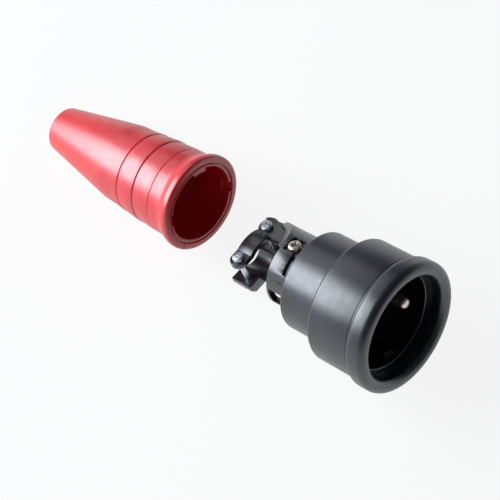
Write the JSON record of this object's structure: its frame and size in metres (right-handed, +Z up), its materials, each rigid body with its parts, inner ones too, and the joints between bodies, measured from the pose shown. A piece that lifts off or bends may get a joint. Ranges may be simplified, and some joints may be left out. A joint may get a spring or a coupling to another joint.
{
  "type": "inline socket",
  "caption": "Round inline mains socket in soft rubber with an earth pin and an open cord clamp, its red cord sleeve drawn off behind it.",
  "frame": {"origin": "middle of the footprint of both halves, on the table", "axes": "+X along the run from the sleeve's tail to the socket's mouth, +Z up from the table, +Y across to the far side of the picture"},
  "size_m": [0.1936, 0.0548, 0.0573],
  "materials": {
    "black_rubber": "satin",
    "black_plastic": "satin",
    "carrier_plastic": "satin",
    "brass": "satin",
    "spring_steel": "satin",
    "nickel": "satin",
    "zinc_steel": "satin",
    "red_rubber": "satin"
  },
  "bodies": {
    "root": {"rubber_body": "black_rubber", "cup_insert": "black_plastic", "terminal_carrier": "carrier_plastic", "cord_strap": "carrier_plastic", "pole_contact_upper": "brass", "pole_contact_lower": "brass", "earth_bar": "brass", "earth_terminal": "brass", "spring_ring_upper": "spring_steel", "spring_ring_lower": "spring_steel", "earth_pin": "nickel", "terminal_screw_upper": "nickel", "terminal_screw_lower": "nickel", "terminal_screw_earth": "nickel", "carrier_screws": "zinc_steel", "clamp_screw_far": "zinc_steel", "clamp_screw_near": "zinc_steel", "clamp_nut_far": "zinc_steel", "clamp_nut_near": "zinc_steel", "red_sleeve": "red_rubber"}
  },
  "joints": []
}
